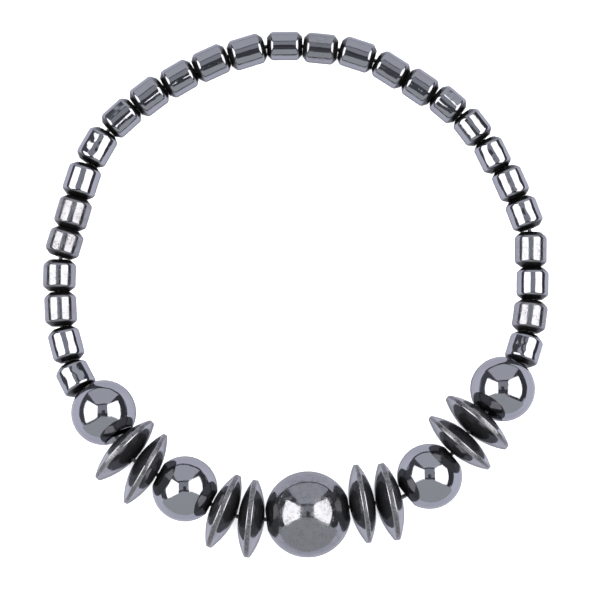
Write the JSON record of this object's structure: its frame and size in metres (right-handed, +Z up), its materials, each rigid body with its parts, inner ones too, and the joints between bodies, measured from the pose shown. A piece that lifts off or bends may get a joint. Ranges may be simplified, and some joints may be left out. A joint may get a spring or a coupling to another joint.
{
  "type": "hematite bead stretch bracelet",
  "caption": "Stretch bracelet of polished hematite: small barrel beads round the back, and larger round and disc beads in front, on an elastic cord.",
  "frame": {"origin": "on the surface that the bracelet lies on, below the middle of its outline as seen from above", "axes": "+Z up, out of the surface; +Y from the large round bead towards the barrel beads opposite it; +X to the right as seen from above with the large round bead nearest the viewer"},
  "size_m": [0.0631, 0.0656, 0.0105],
  "materials": {
    "hematite": "polished to a dark mirror, with fine pits and some brown-black mottling",
    "elastic_cord": "smooth dark elastic cord"
  },
  "bodies": {
    "root": {"barrel_bead_01": "hematite", "barrel_bead_02": "hematite", "barrel_bead_03": "hematite", "barrel_bead_04": "hematite", "barrel_bead_05": "hematite", "barrel_bead_06": "hematite", "barrel_bead_07": "hematite", "barrel_bead_08": "hematite", "barrel_bead_09": "hematite", "barrel_bead_10": "hematite", "barrel_bead_11": "hematite", "barrel_bead_12": "hematite", "barrel_bead_13": "hematite", "barrel_bead_14": "hematite", "barrel_bead_15": "hematite", "barrel_bead_16": "hematite", "barrel_bead_17": "hematite", "barrel_bead_18": "hematite", "barrel_bead_19": "hematite", "barrel_bead_20": "hematite", "barrel_bead_21": "hematite", "barrel_bead_22": "hematite", "barrel_bead_23": "hematite", "barrel_bead_24": "hematite", "barrel_bead_25": "hematite", "barrel_bead_26": "hematite", "barrel_bead_27": "hematite", "round_bead_01": "hematite", "disc_bead_01": "hematite", "disc_bead_02": "hematite", "round_bead_02": "hematite", "disc_bead_03": "hematite", "disc_bead_04": "hematite", "large_round_bead": "hematite", "disc_bead_05": "hematite", "disc_bead_06": "hematite", "round_bead_03": "hematite", "disc_bead_07": "hematite", "disc_bead_08": "hematite", "round_bead_04": "hematite", "elastic_cord": "elastic_cord"}
  },
  "joints": []
}
